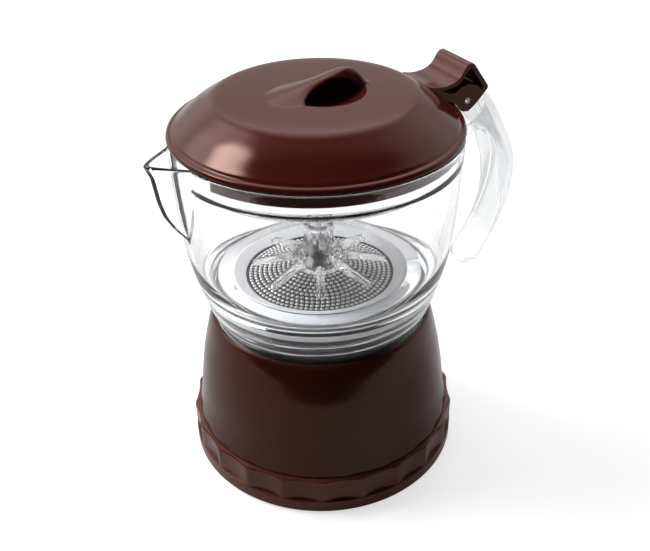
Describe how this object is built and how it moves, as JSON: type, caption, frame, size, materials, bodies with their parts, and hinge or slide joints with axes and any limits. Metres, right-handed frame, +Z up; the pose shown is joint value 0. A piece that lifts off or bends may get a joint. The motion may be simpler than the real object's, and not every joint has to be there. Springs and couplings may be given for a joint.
{
  "type": "microwave coffee maker",
  "caption": "Microwave coffee maker: clear jug with spout, channel handle and hinged domed lid, screwed on a dark tapered base with a scalloped grip ring",
  "frame": {"origin": "middle of the flat foot, on the axis of the round base", "axes": "+Z up along the axis of the base and the jug, +X towards the handle and the lid's hinge, -X towards the spout, Y across"},
  "size_m": [0.1634, 0.12, 0.1721],
  "materials": {
    "brown_plastic": "glossy moulded",
    "brown_lid": "glossy moulded",
    "clear_jug": "clear moulded",
    "clear_part": "clear moulded",
    "clear_tank": "clear moulded",
    "silicone": "milky silicone",
    "steel_mesh": "perforated sheet"
  },
  "bodies": {
    "base": {"base_ring": "brown_plastic", "bottom_plate": "brown_plastic", "outer_shell": "brown_plastic", "water_tank": "clear_tank", "shell_seal": "silicone", "coffee_funnel": "clear_tank", "funnel_screen": "steel_mesh"},
    "filter_pack": {"filter_gasket": "silicone", "filter_disc": "steel_mesh", "hub_clip": "clear_part", "outlet_column": "clear_part"},
    "jug": {"jug": "clear_jug", "hinge_pin": "clear_part"},
    "lid": {"lid": "brown_lid"}
  },
  "joints": [
    {"name": "jug_lift", "type": "slide", "parent": "base", "child": "filter_pack", "axis": [0, 0, 1], "range_m": [0, 0.01]},
    {"name": "jug_turn", "type": "hinge", "parent": "filter_pack", "child": "jug", "pos_m": [0, 0, 0.08], "axis": [0, 0, 1], "range_deg": [0, 900]},
    {"name": "lid_hinge", "type": "hinge", "parent": "jug", "child": "lid", "pos_m": [0.0639, 0, 0.1517], "axis": [0, 1, 0], "range_deg": [0, 65]}
  ],
  "couplings": [
    {"joint": "jug_lift", "follows": "jug_turn", "m_per_rad": 0.00063662}
  ]
}
